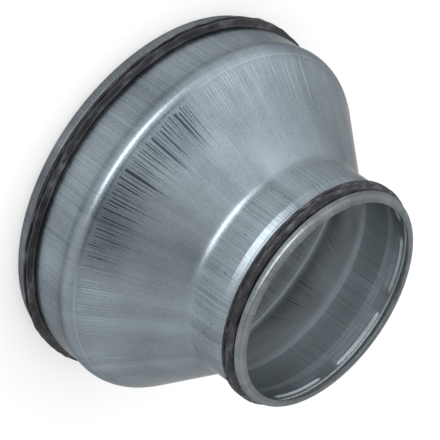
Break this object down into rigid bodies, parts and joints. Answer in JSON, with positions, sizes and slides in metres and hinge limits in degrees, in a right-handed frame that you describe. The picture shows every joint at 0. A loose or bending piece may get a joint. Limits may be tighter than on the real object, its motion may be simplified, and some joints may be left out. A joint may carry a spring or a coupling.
{
  "type": "duct reducer",
  "caption": "Round galvanised sheet-steel duct reducer: two collars joined by a smooth cone, with turned-in rims and a rubber double-lip seal in a channel near each end.",
  "frame": {"origin": "centre of the large end, on the plane of its rim", "axes": "+Z along the duct's axis, from the large end to the small end"},
  "size_m": [0.205, 0.205, 0.1246],
  "materials": {
    "galvanised_steel": "satin zinc coating with fine drawn lines and small puckers from pressing",
    "seal_rubber": "matt black rubber with a chalky bloom"
  },
  "bodies": {
    "root": {"reducer_body": "galvanised_steel", "large_seal": "seal_rubber", "small_seal": "seal_rubber"}
  },
  "joints": []
}
